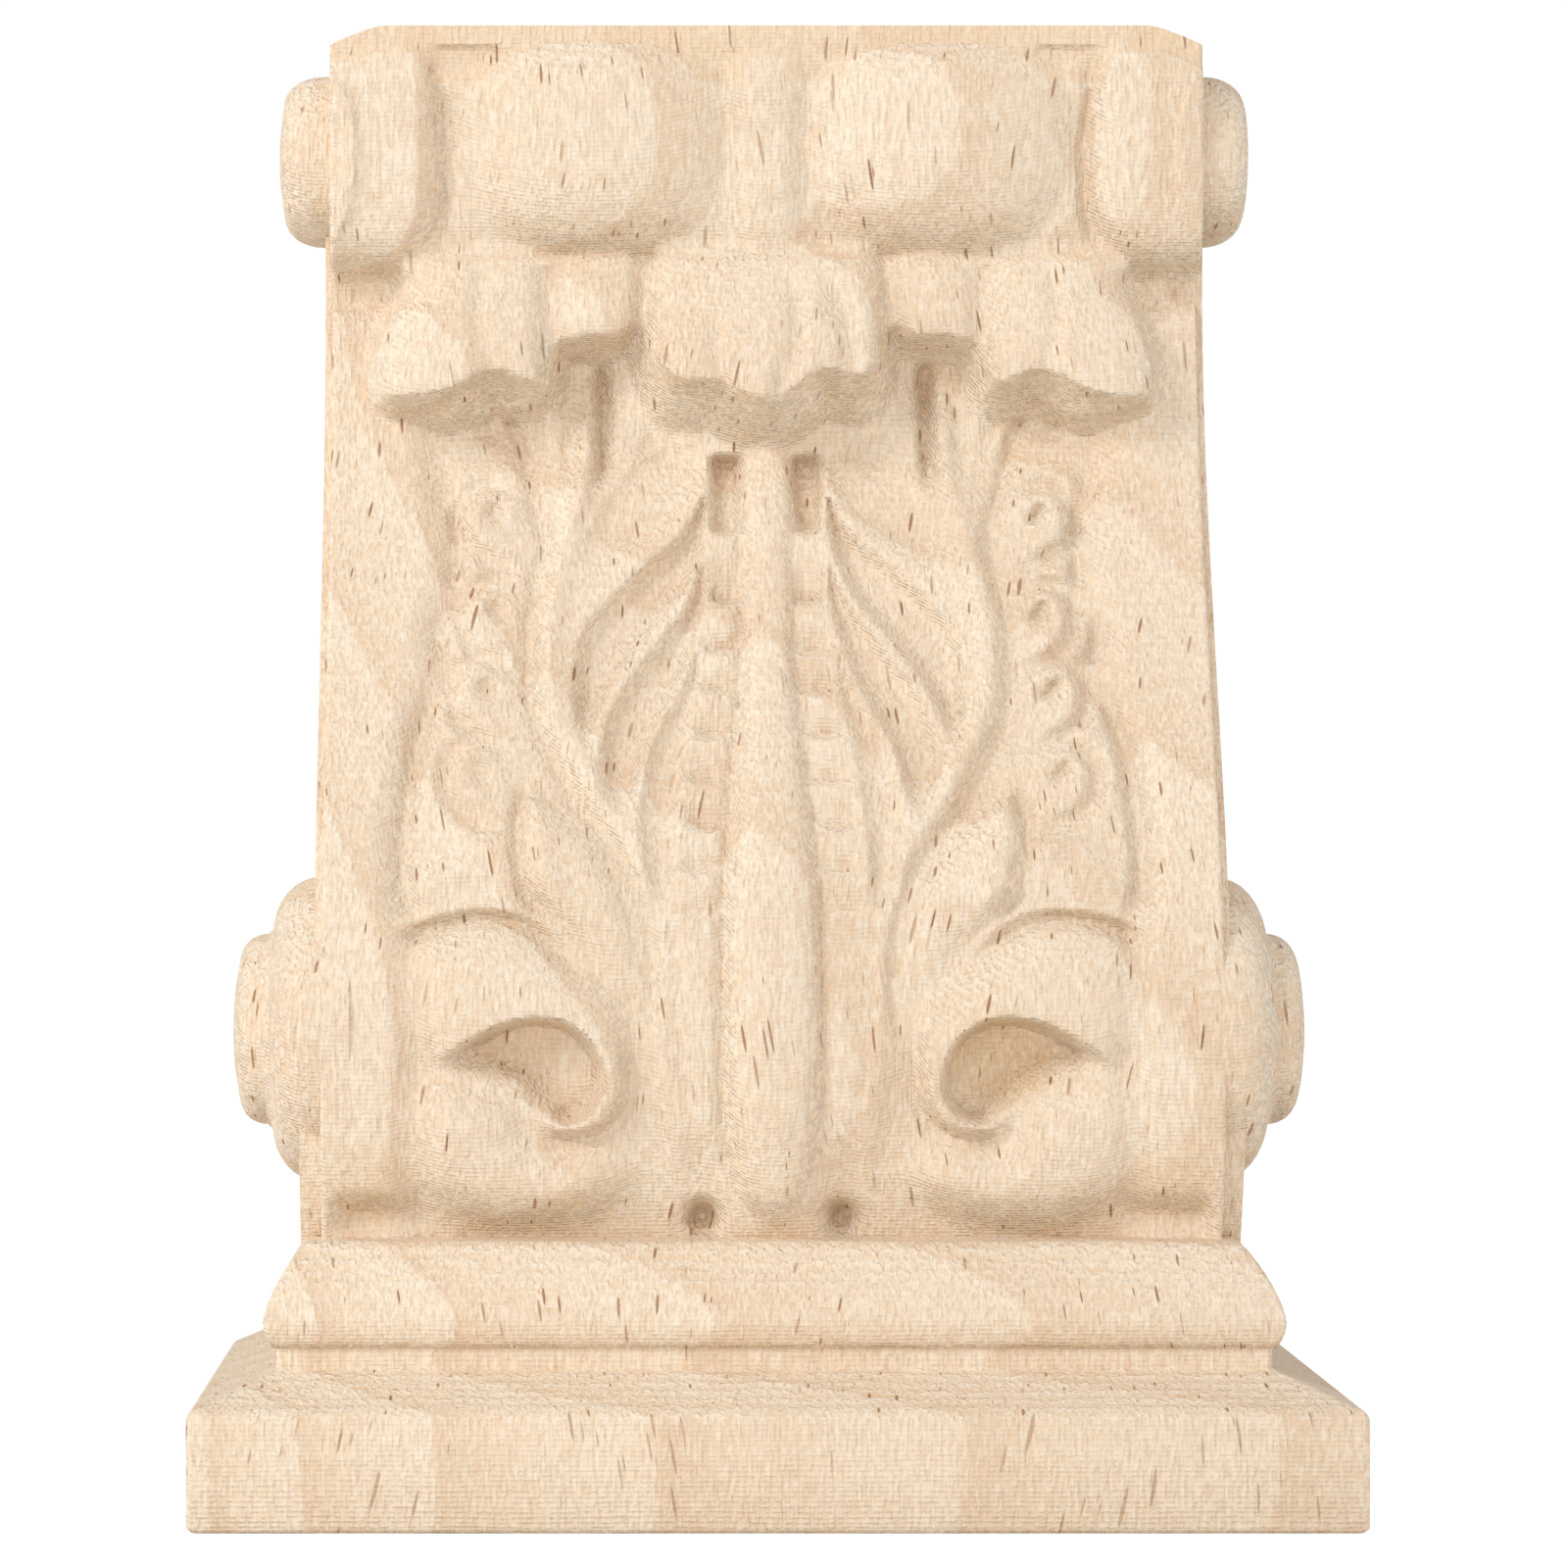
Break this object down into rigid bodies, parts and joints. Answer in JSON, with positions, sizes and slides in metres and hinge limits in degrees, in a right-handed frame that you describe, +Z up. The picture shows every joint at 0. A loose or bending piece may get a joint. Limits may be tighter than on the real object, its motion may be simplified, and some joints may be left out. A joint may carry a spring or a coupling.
{
  "type": "wood corbel",
  "caption": "Carved wood corbel with an S-scroll front, acanthus leaf, gadrooned roll, side volutes and a wide moulded plinth, standing on the plinth.",
  "frame": {"origin": "centre of the plinth's flat underside, on which the corbel stands", "axes": "+Z up from the plinth to the roll, -Y out of the carved face, +Y out of the flat back, X across the width"},
  "size_m": [0.12, 0.06, 0.1576],
  "materials": {
    "wood": "bare, machine-carved pale hardwood with open pores and growth-ring colour zones, matt, roughness about 0.7"
  },
  "bodies": {
    "root": {"corbel": "wood"}
  },
  "joints": []
}
